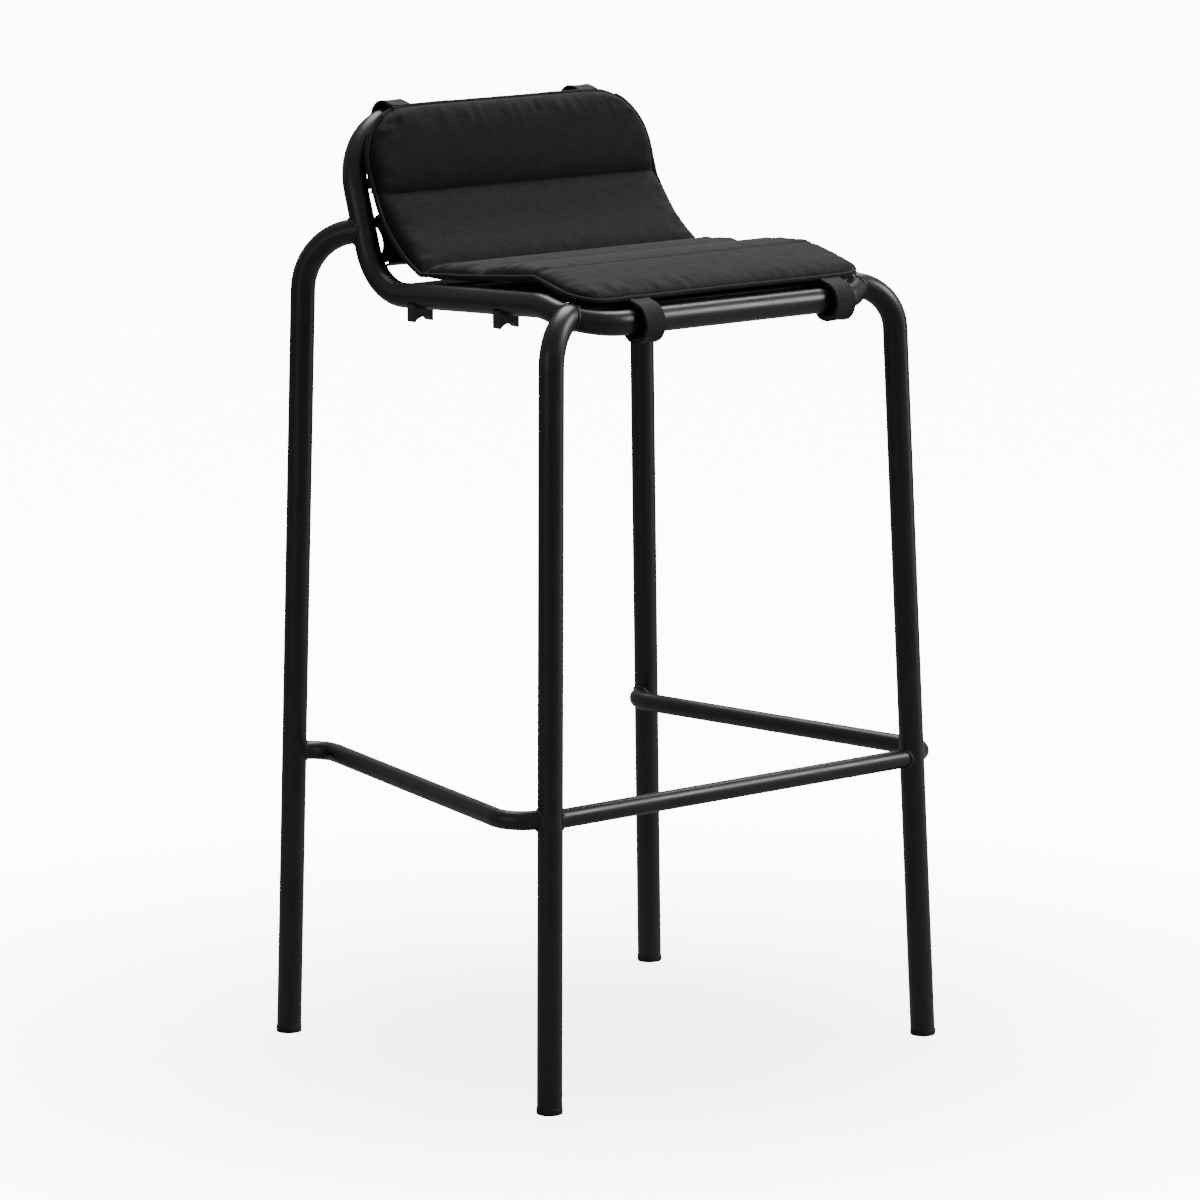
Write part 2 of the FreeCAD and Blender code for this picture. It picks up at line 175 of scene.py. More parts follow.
# camera, floor and light
CAMERA_PLACE = (-3.94506, -4.80335, 1.55852)
CAMERA_AZIMUTH = -39.38
CAMERA_ELEVATION = 10.12
CAMERA_ROLL = -0.246
CAMERA_LENS = 187.6
CAMERA_SENSOR = 36.0
FLOOR_SIZE = 120.0
FLOOR_GLOW = 12.0
# glow under the stool, lower than elsewhere: a painted shadow
FLOOR_GLOW_PAINTED_SHADOW = 4.2
FLOOR_GLOW_FROM = 0.20              # the floor's glow grows between these distances from the middle, out of the painted shadow under the stool
FLOOR_GLOW_TO = 1.10
FLOOR_BOUNCE = 0.27                 # share of its light that the floor gives back to the stool
WORLD_LIGHT = 0.30
LIGHT_AIM = Vector((0.0, 0.0, 0.5))
LIGHTS = {                          # place, size and power
    "top_light": ((0.9, 0.9, 3.1), 2.0, 108.0),
    "key_light": ((2.3, -2.0, 2.4), 1.2, 82.0),
    "side_light": ((2.8, -1.7, 0.6), 1.1, 7.0),
    "left_light": ((-3.4, -0.6, 1.4), 1.6, 8.0),
}


# ---- small tools --------------------------------------------------------------------------

def pick(obj):
    """Make one object the only selected one, and the active one."""
    bpy.ops.object.select_all(action="DESELECT")
    obj.select_set(True)
    bpy.context.view_layer.objects.active = obj
    return obj


def named(name):
    """Name the object that an operator has just made."""
    obj = bpy.context.active_object
    obj.name = name
    obj.data.name = name
    return obj


def apply_all(obj):
    """Apply an object's modifiers in order."""
    pick(obj)
    for modifier in list(obj.modifiers):
        bpy.ops.object.modifier_apply(modifier=modifier.name)


def settle(obj):
    """Put the object's place into its mesh."""
    pick(obj)
    bpy.ops.object.transform_apply(location=True, rotation=True, scale=True)


def put_on(obj, material, smooth=40.0):
    """Finish a new piece: its material, smooth shading, riding on the stool."""
    obj.data.materials.clear()
    obj.data.materials.append(material)
    pick(obj)
    bpy.ops.object.shade_smooth_by_angle(angle=math.radians(smooth))
    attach(obj, "root")


def lerp(a, b, t):
    """The number that lies a share t of the way from a to b."""
    return a + (b - a) * t


def lay_cloth(obj, places):
    """Give a piece its cloth UV map in metres, from each point's place on the flat cloth."""
    cloth = obj.data.uv_layers.active or obj.data.uv_layers.new(name="cloth")
    cloth.name = "cloth"
    for loop in obj.data.loops:
        cloth.data[loop.index].uv = places[loop.vertex_index]


# ---- shader groups ------------------------------------------------------------------------

def new_group(name, inputs, outputs):
    """An empty shader node group with named sockets, and its two end nodes."""
    group = bpy.data.node_groups.new(name, "ShaderNodeTree")
    for label, kind, value in inputs:
        socket = group.interface.new_socket(name=label, in_out="INPUT", socket_type=kind)
        if value is not None:
            socket.default_value = value
    for label, kind in outputs:
        group.interface.new_socket(name=label, in_out="OUTPUT", socket_type=kind)
    return group, group.nodes.new("NodeGroupInput"), group.nodes.new("NodeGroupOutput")


def math_node(nodes, links, operation, first, second=None):
    """A Math node fed by sockets or plain numbers."""
    node = nodes.new("ShaderNodeMath")
    node.operation = operation
    for number, value in enumerate([first, second]):
        if value is None:
            continue
        if isinstance(value, (int, float)):
            node.inputs[number].default_value = value
        else:
            links.new(value, node.inputs[number])
    return node.outputs[0]


def woven_group():
    """Plain weave from a coordinate in metres: raised threads, thread tone and a soft mottle."""
    group, start, end = new_group(
        "plain weave",
        [("Vector", "NodeSocketVector", None), ("Threads per metre", "NodeSocketFloat", 900.0)],
        [("Height", "NodeSocketFloat"), ("Tone", "NodeSocketFloat"), ("Mottle", "NodeSocketFloat")],
    )
    nodes, links = group.nodes, group.links
    scale = nodes.new("ShaderNodeVectorMath")
    scale.operation = "SCALE"
    links.new(start.outputs["Vector"], scale.inputs[0])
    links.new(start.outputs["Threads per metre"], scale.inputs["Scale"])
    axes = nodes.new("ShaderNodeSeparateXYZ")
    links.new(scale.outputs[0], axes.inputs[0])
    warp = math_node(nodes, links, "SINE", math_node(nodes, links, "MULTIPLY", axes.outputs[0], math.pi))
    weft = math_node(nodes, links, "SINE", math_node(nodes, links, "MULTIPLY", axes.outputs[1], math.pi))
    crossing = math_node(nodes, links, "MULTIPLY", warp, weft)
    over = math_node(nodes, links, "MULTIPLY", crossing, 0.5)
    height = math_node(nodes, links, "ADD", over, 0.5)
    links.new(height, end.inputs["Height"])
    thread = nodes.new("ShaderNodeTexNoise")
    thread.inputs["Scale"].default_value = 0.35
    thread.inputs["Detail"].default_value = 2.0
    stretch = nodes.new("ShaderNodeVectorMath")
    stretch.operation = "MULTIPLY"
    stretch.inputs[1].default_value = (0.30, 1.0, 1.0)
    links.new(scale.outputs[0], stretch.inputs[0])
    links.new(stretch.outputs[0], thread.inputs["Vector"])
    links.new(thread.outputs["Fac"], end.inputs["Tone"])
    mottle = nodes.new("ShaderNodeTexNoise")
    mottle.inputs["Scale"].default_value = 75.0
    mottle.inputs["Detail"].default_value = 5.0
    links.new(start.outputs["Vector"], mottle.inputs["Vector"])
    links.new(mottle.outputs["Fac"], end.inputs["Mottle"])
    return group


def grain_group():
    """Fine surface grain: small bumps and slow patches, for coatings and moulded plastic."""
    group, start, end = new_group(
        "surface grain",
        [("Fine", "NodeSocketFloat", 900.0), ("Coarse", "NodeSocketFloat", 30.0)],
        [("Bumps", "NodeSocketFloat"), ("Patches", "NodeSocketFloat")],
    )
    nodes, links = group.nodes, group.links
    place = nodes.new("ShaderNodeTexCoord")
    for label, source, detail in (("Bumps", "Fine", 2.0), ("Patches", "Coarse", 4.0)):
        texture = nodes.new("ShaderNodeTexNoise")
        texture.inputs["Detail"].default_value = detail
        links.new(place.outputs["Object"], texture.inputs["Vector"])
        links.new(start.outputs[source], texture.inputs["Scale"])
        links.new(texture.outputs["Fac"], end.inputs[label])
    return group


WEAVE = woven_group()
GRAIN = grain_group()


# ---- materials ----------------------------------------------------------------------------

def blank_material(name):
    """A material with only a Principled shader, and its node tree's parts."""
    material = bpy.data.materials.new(name)
    material.use_nodes = True
    nodes, links = material.node_tree.nodes, material.node_tree.links
    shader = nodes["Principled BSDF"]
    return material, nodes, links, shader


def placed(nodes, group, **values):
    """A copy of a shader group inside a material, with its own values."""
    node = nodes.new("ShaderNodeGroup")
    node.node_tree = group
    for label, value in values.items():
        node.inputs[label.replace("_", " ")].default_value = value
    return node


def ramp(nodes, links, source, low, high, low_at=0.3, high_at=0.7):
    """Map a 0 to 1 value onto a range of numbers."""
    node = nodes.new("ShaderNodeMapRange")
    node.inputs["From Min"].default_value = low_at
    node.inputs["From Max"].default_value = high_at
    node.inputs["To Min"].default_value = low
    node.inputs["To Max"].default_value = high
    links.new(source, node.inputs["Value"])
    return node.outputs["Result"]


def tinted(nodes, links, source, dark, light):
    """Blend two colours by a 0 to 1 value."""
    node = nodes.new("ShaderNodeMix")
    node.data_type = "RGBA"
    node.inputs["A"].default_value = (*dark, 1.0)
    node.inputs["B"].default_value = (*light, 1.0)
    links.new(source, node.inputs["Factor"])
    return node.outputs["Result"]


def bump(nodes, links, height, distance, strength, below=None):
    """The normal of a bumpy surface, on top of another normal where one is given."""
    node = nodes.new("ShaderNodeBump")
    node.inputs["Distance"].default_value = distance
    node.inputs["Strength"].default_value = strength
    links.new(height, node.inputs["Height"])
    if below is not None:
        links.new(below, node.inputs["Normal"])
    return node.outputs["Normal"]


def coated_metal(name, colour, roughness):
    """Satin powder coat: faint orange peel, slow changes of sheen."""
    material, nodes, links, shader = blank_material(name)
    grain = placed(nodes, GRAIN, Fine=1100.0, Coarse=24.0)
    lighter = tuple(1.5 * part for part in colour)
    patches = ramp(nodes, links, grain.outputs["Patches"], 0.0, 1.0)
    links.new(tinted(nodes, links, patches, colour, lighter), shader.inputs["Base Color"])
    spread = ramp(nodes, links, grain.outputs["Patches"], roughness - 0.04, roughness + 0.05)
    links.new(spread, shader.inputs["Roughness"])
    links.new(bump(nodes, links, grain.outputs["Bumps"], 0.00012, 0.35), shader.inputs["Normal"])
    shader.inputs["Specular IOR Level"].default_value = 0.5
    return material


def moulded_plastic(name, colour, roughness):
    """Matte moulded plastic with a fine spark-eroded grain."""
    material, nodes, links, shader = blank_material(name)
    grain = placed(nodes, GRAIN, Fine=1600.0, Coarse=60.0)
    patches = ramp(nodes, links, grain.outputs["Patches"], 0.0, 1.0)
    lighter = tuple(1.6 * part for part in colour)
    links.new(tinted(nodes, links, patches, colour, lighter), shader.inputs["Base Color"])
    links.new(ramp(nodes, links, patches, roughness, roughness + 0.1), shader.inputs["Roughness"])
    links.new(bump(nodes, links, grain.outputs["Bumps"], 0.0002, 0.5), shader.inputs["Normal"])
    return material


def woven_cloth(name, dark, light, threads):
    """Outdoor fabric in a plain weave, from the piece's own UV map in metres."""
    material, nodes, links, shader = blank_material(name)
    place = nodes.new("ShaderNodeUVMap")
    place.uv_map = "cloth"
    weave = placed(nodes, WEAVE, Threads_per_metre=threads)
    links.new(place.outputs["UV"], weave.inputs["Vector"])
    tone = math_node(nodes, links, "MULTIPLY", weave.outputs["Tone"], 0.6)
    mottle = math_node(nodes, links, "MULTIPLY", weave.outputs["Mottle"], 0.4)
    mixed = math_node(nodes, links, "ADD", tone, mottle)
    shade = ramp(nodes, links, mixed, 0.0, 1.0, 0.35, 0.65)
    links.new(tinted(nodes, links, shade, dark, light), shader.inputs["Base Color"])
    links.new(ramp(nodes, links, weave.outputs["Mottle"], 0.82, 0.92), shader.inputs["Roughness"])
    fine = bump(nodes, links, weave.outputs["Height"], 0.0003, 0.6)
    links.new(bump(nodes, links, weave.outputs["Mottle"], 0.0008, 0.25, fine), shader.inputs["Normal"])
    shader.inputs["Sheen Weight"].default_value = 0.09
    shader.inputs["Sheen Roughness"].default_value = 0.3
    shader.inputs["Specular IOR Level"].default_value = 0.25
    return material


FRAME_COAT = coated_metal("satin black powder coat", (0.006, 0.006, 0.0064), 0.36)
SLAT_COAT = coated_metal("black coated sheet steel", (0.015, 0.015, 0.016), 0.42)
WELD_COAT = coated_metal("coated weld bead", (0.016, 0.016, 0.017), 0.33)
GLIDE_PLASTIC = moulded_plastic("black glide plastic", (0.003, 0.003, 0.003), 0.6)
SADDLE_PLASTIC = moulded_plastic("black saddle plastic", (0.018, 0.018, 0.018), 0.5)
SNAP_COAT = coated_metal("black press stud", (0.02, 0.02, 0.02), 0.3)
PAD_CLOTH = woven_cloth("black outdoor weave", (0.0050, 0.0050, 0.0052), (0.0098, 0.0098, 0.0102), 900.0)
PIPING_CLOTH = woven_cloth("black piping weave", (0.008, 0.008, 0.0083), (0.016, 0.016, 0.0166), 900.0)
STRAP_CLOTH = woven_cloth("black strap weave", (0.015, 0.015, 0.0155), (0.030, 0.030, 0.031), 1100.0)
THREAD = moulded_plastic("black polyester thread", (0.009, 0.009, 0.009), 0.55)

FINISHES = {
    "frame_tube": FRAME_COAT,
    "footrest_tube": FRAME_COAT,
    "slat_steel": SLAT_COAT,
    "glide_plastic": GLIDE_PLASTIC,
    "saddle_plastic": SADDLE_PLASTIC,
    "snap_metal": SNAP_COAT,
    "pad_fabric": PAD_CLOTH,
    "strap_webbing": STRAP_CLOTH,
}
for part in frame["record"]["subparts"]:
    node = frame["nodes"][part["node"]]
    for material_slot in node.material_slots:
        material_slot.material = FINISHES[part["material_slot"]]


# ---- the pad ------------------------------------------------------------------------------

def pad_line():
    """The pad's middle line: (distance, point) at each sewn line, measured along it."""
    distance = 0.0
    line = []
    for number, (y, z) in enumerate(PAD_SEAMS):
        if number:
            step = Vector((y, z)) - Vector(PAD_SEAMS[number - 1])
            distance += step.length
        line.append((distance, Vector((0.0, y, z))))
    return line


LINE = pad_line()
PAD_LENGTH = LINE[-1][0]


def on_line(distance):
    """Point of the middle line, channel number and share of the channel at a distance."""
    channel = 0
    while channel < len(LINE) - 2 and distance > LINE[channel + 1][0]:
        channel += 1
    (near, start), (far, end) = LINE[channel], LINE[channel + 1]
    share = min(max((distance - near) / (far - near), 0.0), 1.0)
    bow = 4.0 * share * (1.0 - share) * CHANNEL_BOW[channel]
    return start.lerp(end, share) + run_normal(channel) * bow, channel, share


def run_normal(channel):
    """Upward normal of one channel's chord."""
    run = (LINE[channel + 1][1] - LINE[channel][1]).normalized()
    return Vector((0.0, -run.z, run.y))


def soft_normal(distance):
    """The normal of the bowed line, turned smoothly past each sewn line."""
    near = on_line(max(distance - NORMAL_REACH, 0.0))[0]
    far = on_line(min(distance + NORMAL_REACH, PAD_LENGTH))[0]
    run = (far - near).normalized()
    return Vector((0.0, -run.z, run.y))


def corner_width(distance):
    """Half width of the pad, less at its rounded corners and where a sewn line pinches it."""
    for inset, radius in ((distance, FRONT_CORNER_R), (PAD_LENGTH - distance, TOP_CORNER_R)):
        inset = max(inset, 0.0)
        if inset < radius:
            return PAD_HALF_WIDTH - radius + math.sqrt(radius ** 2 - (radius - inset) ** 2)
    pinch = 0.0
    for (place, _), depth in zip(LINE, SEAM_PINCH):
        pinch += depth * math.exp(-((distance - place) / PINCH_REACH) ** 2)
    return PAD_HALF_WIDTH - pinch


def row_places():
    """Distances of the pad's rows: close together at each sewn line and round the corners."""
    rows = set()
    for (near, _), (far, _) in zip(LINE, LINE[1:]):
        first, last = near + SEAM_ROWS[-1], far - SEAM_ROWS[-1]
        count = round((last - first) / ROW_PITCH)
        rows.update(round(near + step, 6) for step in SEAM_ROWS)
        rows.update(round(far - step, 6) for step in SEAM_ROWS)
        rows.update(round(lerp(first, last, step / count), 6) for step in range(1, count))
    return sorted(rows)


def skin_height(x_share, half_width, distance, upper):
    """Height of the upper or lower skin off the middle line."""
    _, channel, share = on_line(distance)
    full = (CHANNEL_CROWN if upper else CHANNEL_BELLY)[channel]
    seams = SEAM_HEIGHT[channel:channel + 2]
    at_seam = lerp(seams[0], seams[1], share) if upper else SEAM_DEPTH
    if not upper:
        ends = (0.0 if channel == 0 else 1.0, 0.0 if channel == len(LINE) - 2 else 1.0)
        at_seam *= lerp(ends[0], ends[1], share)
    crown = (1.0 - abs(2.0 * share - 1.0) ** CROWN_FLATNESS) ** CROWN_FULLNESS
    along = at_seam + (full - at_seam) * crown
    inset = min(max(1.0 - abs(x_share), 0.0) * half_width, EDGE_ROUND) / EDGE_ROUND
    edge = math.sqrt(1.0 - (1.0 - inset) ** 2)
    return along * edge


def pucker(x_share, half_width, distance):
    """Small gathers in the top fabric beside the piping and the sewn channels."""
    to_side = (1.0 - abs(x_share)) * half_width
    to_front, to_top = distance, PAD_LENGTH - distance
    x = x_share * half_width
    total = 0.0
    inset, spread, height, per_metre, slow = EDGE_GATHER
    for gap, along in ((to_side, distance), (to_front, x), (to_top, x)):
        reach = math.exp(-((gap - inset) / spread) ** 2)
        total += height * reach * noise(Vector((along * per_metre, gap * slow, 3.7)))
    inset, spread, height, per_metre, slow = LINE_GATHER
    for place, _ in LINE[1:-1]:
        gap = abs(distance - place)
        reach = math.exp(-((gap - inset) / spread) ** 2) * min(to_side / LINE_GATHER_FADE, 1.0)
        total += height * reach * noise(Vector((x * per_metre, distance * slow, 8.1)))
    return total


def make_pad():
    """The folded pad as one closed skin: two layers of the same grid, joined at the piping."""
    rows = row_places()
    bpy.ops.mesh.primitive_grid_add(
        x_subdivisions=PAD_COLUMNS - 1, y_subdivisions=len(rows) - 1, size=1.0)
    pad = named("folded_pad")
    pick(pad)
    bpy.ops.object.mode_set(mode="EDIT")
    bpy.ops.mesh.select_all(action="SELECT")
    bpy.ops.mesh.duplicate_move(TRANSFORM_OT_translate={"value": (0.0, 0.0, -1.0)})
    bpy.ops.mesh.flip_normals()
    bpy.ops.object.mode_set(mode="OBJECT")
    places = {}
    for vertex in pad.data.vertices:
        x_share = 2.0 * vertex.co.x
        # sides are packed closer, so that the rounded edge is smooth
        bent = math.sin(x_share * math.pi / 2.0)
        x_share = bent * SIDE_PACKING + x_share * (1.0 - SIDE_PACKING)
        row = round((vertex.co.y + 0.5) * (len(rows) - 1))
        distance = rows[row]
        half_width = corner_width(distance)
        upper = vertex.co.z > -0.5
        height = skin_height(x_share, half_width, distance, upper)
        middle = on_line(distance)[0]
        if upper:
            height += pucker(x_share, half_width, distance)
        offset = soft_normal(distance) * (height if upper else -height)
        vertex.co = middle + offset + Vector((x_share * half_width, 0.0, 0.0))
        places[vertex.index] = (x_share * half_width, distance, row, upper)
    lay_cloth(pad, {index: place[:2] for index, place in places.items()})
    return pad, places, rows


def sewn_rows(rows):
    """Row numbers that lie on a sewn line."""
    found = []
    for distance, _ in LINE:
        found.append(min(range(len(rows)), key=lambda row: abs(rows[row] - distance)))
    return found


def swell(pad, places, rows):
    """Blow the pad up with cloth pressure, held at its seams and piping."""
    sewn = set(sewn_rows(rows))
    held = pad.vertex_groups.new(name="sewn")
    for index, (x, distance, row, _) in places.items():
        at_edge = abs(x) > SWELL_HELD * corner_width(distance)
        if at_edge or row in sewn:
            held.add([index], 1.0, "REPLACE")
    start = [vertex.co.copy() for vertex in pad.data.vertices]
    cloth = pad.modifiers.new("cloth", "CLOTH")
    settings = cloth.settings
    settings.quality = 6
    settings.mass = 0.25
    settings.tension_stiffness = 20.0
    settings.compression_stiffness = 20.0
    settings.shear_stiffness = 10.0
    settings.bending_stiffness = 1.5
    settings.use_pressure = True
    settings.uniform_pressure_force = 3.0
    settings.shrink_min = -0.002
    settings.vertex_group_mass = "sewn"
    settings.effector_weights.gravity = 0.0
    cloth.point_cache.frame_start = 1
    cloth.point_cache.frame_end = SWELL_FRAMES
    for frame_number in range(1, SWELL_FRAMES + 1):
        bpy.context.scene.frame_set(frame_number)
    apply_all(pad)
    bpy.context.scene.frame_set(1)
    drift = [vertex.co - start[index] for index, vertex in enumerate(pad.data.vertices)]
    beside = [[] for _ in start]
    for edge in pad.data.edges:
        one, other = edge.vertices
        beside[one].append(other)
        beside[other].append(one)
    for _ in range(SMOOTHINGS):
        drift = [
            own * SMOOTHING_OWN
            + sum((drift[other] for other in around), Vector()) * (1.0 - SMOOTHING_OWN) / len(around)
            for own, around in zip(drift, beside)
        ]
    for index, vertex in enumerate(pad.data.vertices):
        upper = places[index][3]
        limit = MOST_DRIFT_UP if upper else MOST_DRIFT_DOWN
        moved = drift[index] * PAD_LIVENESS
        vertex.co = start[index] + moved * limit / (limit + moved.length)


def join_skins(pad, places):
    """Merge the two skins along the piping line, where they meet."""
    before = {index: vertex.co.copy() for index, vertex in enumerate(pad.data.vertices)}
    pick(pad)
    bpy.ops.object.mode_set(mode="EDIT")
    bpy.ops.mesh.select_all(action="SELECT")
    bpy.ops.mesh.remove_doubles(threshold=SKIN_MERGE)
    bpy.ops.mesh.normals_make_consistent(inside=False)
    bpy.ops.object.mode_set(mode="OBJECT")
    by_place = {tuple(round(part, 5) for part in co): places[index] for index, co in before.items()}
    return {
        vertex.index: by_place[tuple(round(part, 5) for part in vertex.co)]
        for vertex in pad.data.vertices
    }


pad, pad_places, pad_rows = make_pad()
pad_places = join_skins(pad, pad_places)
swell(pad, pad_places, pad_rows)
smoother = pad.modifiers.new("smooth", "SUBSURF")
smoother.levels = 1
smoother.render_levels = 1
apply_all(pad)
put_on(pad, PAD_CLOTH, smooth=80.0)
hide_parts("seat_pad", "back_pad")


# ---- the piping, and rings in general -----------------------------------------------------

def edge_route():
    """Points round the pad's edge, where the piping is sewn: front, right side, top, left side."""
    side = [(corner_width(distance), distance) for distance in pad_rows]
    loop = side + [(-half, distance) for half, distance in reversed(side)]
    return [on_line(distance)[0] + Vector((x, 0.0, 0.0)) for x, distance in loop]


def evenly(points, pitch):
    """Points at an even pitch along an open route, from its first point to its last."""
    lengths = [(b - a).length for a, b in zip(points, points[1:])]
    total = sum(lengths)
    count = round(total / pitch)
    found, run, leg = [], 0.0, 0
    for number in range(count + 1):
        goal = total * number / count
        while leg < len(lengths) - 1 and run + lengths[leg] < goal:
            run += lengths[leg]
            leg += 1
        share = min((goal - run) / max(lengths[leg], TINY), 1.0)
        found.append(points[leg].lerp(points[leg + 1], share))
    return found


def turn_faces_out(obj):
    """Make every face of a closed piece point outwards."""
    pick(obj)
    bpy.ops.object.mode_set(mode="EDIT")
    bpy.ops.mesh.select_all(action="SELECT")
    bpy.ops.mesh.remove_doubles(threshold=MERGE)
    bpy.ops.mesh.normals_make_consistent(inside=False)
    bpy.ops.object.mode_set(mode="OBJECT")


def roll_ring(name, points, radius_at, sides):
    """A grid rolled into a ring along closed points. Its UV map is metres round and along it."""
    count = len(points)
    bpy.ops.object.select_all(action="DESELECT")
    bpy.ops.mesh.primitive_grid_add(x_subdivisions=sides, y_subdivisions=count, size=1.0)
    ring = named(name)
    pitch = (points[1] - points[0]).length
    places = {}
    for vertex in ring.data.vertices:
        spoke = round((vertex.co.x + 0.5) * sides)
        number = round((vertex.co.y + 0.5) * count)
        places[vertex.index] = (spoke / sides * PIPING_GIRTH, number * pitch)
        here = number % count
        ahead = (points[(here + 1) % count] - points[here - 1]).normalized()
        across = ahead.cross(RING_LEAN).normalized()
        over = across.cross(ahead)
        angle = 2.0 * math.pi * (spoke % sides) / sides
        reach = across * math.cos(angle) + over * math.sin(angle)
        vertex.co = points[here] + reach * radius_at(here)
    lay_cloth(ring, places)
    turn_faces_out(ring)
    return ring


def make_piping():
    """The piping: a covered cord along the pad's edge, a little uneven where it is sewn."""
    corners = edge_route()
    route = evenly(corners + corners[:1], PIPING_PITCH)[:-1]
    waver_height, wavers = PIPING_WAVER
    lump_height, lumps = PIPING_LUMP
    pushed = []
    for number, point in enumerate(route):
        ahead = (route[(number + 1) % len(route)] - route[number - 1]).normalized()
        lift = Vector((0.0, 0.0, 1.0)) if abs(ahead.z) < 0.5 else Vector((0.0, -1.0, 0.3)).normalized()
        outward = ahead.cross(lift).normalized()
        if outward.dot(point - on_line(PAD_LENGTH / 2.0)[0]) < 0.0:
            outward = -outward
        waver = waver_height * noise(point * wavers)
        pushed.append(point + outward * PIPING_LIP + lift * waver)

    def radius_at(number):
        return PIPING_R + lump_height * noise(pushed[number] * lumps)

    return roll_ring("pad_piping", pushed, radius_at, PIPING_SIDES)


put_on(make_piping(), PIPING_CLOTH, smooth=80.0)


# ---- straps -------------------------------------------------------------------------------

def strap_route(centre, seam, seed):
    """(y, z) points of one strap: out of the pad's edge, round the tube and back to the edge."""
    reach = Vector(seam) - Vector(centre)
    opening = math.acos(STRAP_R / reach.length)
    heading = math.atan2(reach.y, reach.x)
    points = [Vector(seam)]
    first, last = heading + opening, heading - opening + 2.0 * math.pi
    for step in range(STRAP_TURN_STEPS + 1):
        angle = lerp(first, last, step / STRAP_TURN_STEPS)
        slack = 1.0 + STRAP_SLACK * math.sin(STRAP_SLACK_TURN * angle + seed)
        points.append(Vector(centre) + Vector((math.cos(angle), math.sin(angle))) * STRAP_R * slack)
    points.append(Vector(seam))
    return points


def smooth_route(points):
    """An open route cut into even, slightly rounded steps."""
    for _ in range(2):
        rounded = [points[0]]
        for a, b in zip(points, points[1:]):
            rounded += [a.lerp(b, 0.25), a.lerp(b, 0.75)]
        points = rounded + [points[-1]]
    return evenly(points, STRAP_PITCH)


def make_strap(name, x, centre, seam, seed):
    """A folded fabric strap: a band with rolled edges, and the route that its stitches follow."""
    route = smooth_route(strap_route(centre, seam, seed))
    bpy.ops.mesh.primitive_grid_add(
        x_subdivisions=STRAP_COLUMNS, y_subdivisions=len(route) - 1, size=1.0)
    band = named(name)
    places = {}
    for vertex in band.data.vertices:
        share = vertex.co.x
        number = round((vertex.co.y + 0.5) * (len(route) - 1))
        point = route[number]
        ahead = (route[min(number + 1, len(route) - 1)] - route[max(number - 1, 0)]).normalized()
        outward = Vector((ahead.y, -ahead.x))
        if outward.dot(point - Vector(centre)) < 0.0:
            outward = -outward
        sway = STRAP_SWAY * noise(Vector((seed, number * 0.05, 0.0)))
        cup = STRAP_CUP * (2.0 * share) ** 2
        crease = STRAP_CREASE * noise(Vector((share * 3.0, number * 0.12, seed)))
        place = point + outward * (cup + crease)
        vertex.co = Vector((x + share * (STRAP_WIDTH - STRAP_TRIM) + sway, place.x, place.y))
        places[vertex.index] = (share * STRAP_WIDTH, number * STRAP_PITCH)
    lay_cloth(band, places)
    thick = band.modifiers.new("thickness", "SOLIDIFY")
    thick.thickness = STRAP_T
    thick.offset = 0.0
    round_edge = band.modifiers.new("rolled edge", "BEVEL")
    round_edge.width = STRAP_EDGE_R
    round_edge.segments = 3
    round_edge.limit_method = "ANGLE"
    round_edge.angle_limit = math.radians(50.0)
    apply_all(band)
    turn_faces_out(band)
    return band, route


def make_stitches(name, x, centre, route):
    """Two rows of thread, a stitch every few millimetres, on the outside of a strap."""
    bpy.ops.object.select_all(action="DESELECT")
    bpy.ops.mesh.primitive_uv_sphere_add(segments=8, ring_count=5, radius=0.5)
    first = named(name)
    row = []
    for side in (-1.0, 1.0):
        for number in range(STITCH_ENDS, len(route) - STITCH_ENDS, STITCH_STEP):
            point, ahead = route[number], (route[number + 1] - route[number - 1]).normalized()
            outward = Vector((ahead.y, -ahead.x))
            if outward.dot(point - Vector(centre)) < 0.0:
                outward = -outward
            middle = point + outward * (STRAP_T / 2.0 + STITCH_R * STITCH_PROUD)
            stitch = first.copy()
            stitch.data = first.data.copy()
            bpy.context.scene.collection.objects.link(stitch)
            turn = Matrix((
                Vector((0.0, ahead.x, ahead.y)) * STITCH_LENGTH,
                Vector((1.0, 0.0, 0.0)) * 2.0 * STITCH_R,
                Vector((0.0, outward.x, outward.y)) * 2.0 * STITCH_R,
            )).transposed()
            place = Vector((x + side * STITCH_OFFSET, middle.x, middle.y))
            stitch.data.transform(Matrix.Translation(place) @ turn.to_4x4())
            row.append(stitch)
    bpy.data.objects.remove(first)
    bpy.ops.object.select_all(action="DESELECT")
    for stitch in row:
        stitch.select_set(True)
    bpy.context.view_layer.objects.active = row[0]
    bpy.ops.object.join()
    thread = named(name)
    turn_faces_out(thread)
    return thread


STRAPS = {
    "front_strap_left": (FRONT_STRAP_CENTRE, FRONT_STRAP_SEAM),
    "front_strap_right": (FRONT_STRAP_CENTRE, FRONT_STRAP_SEAM),
    "top_strap_left": (TOP_STRAP_CENTRE, TOP_STRAP_SEAM),
    "top_strap_right": (TOP_STRAP_CENTRE, TOP_STRAP_SEAM),
}
for number, (strap_node, (strap_centre, strap_seam)) in enumerate(STRAPS.items()):
    low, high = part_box(strap_node)
    strap_x = (low.x + high.x) / 2.0
    band, band_route = make_strap(
        strap_node + "_band", strap_x, strap_centre, strap_seam, STRAP_SEED_STEP * number)
    put_on(band, STRAP_CLOTH, smooth=50.0)
    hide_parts(strap_node)
    thread = make_stitches(strap_node + "_stitches", strap_x, strap_centre, band_route)
    put_on(thread, THREAD, smooth=60.0)


# ---- weld beads ---------------------------------------------------------------------------

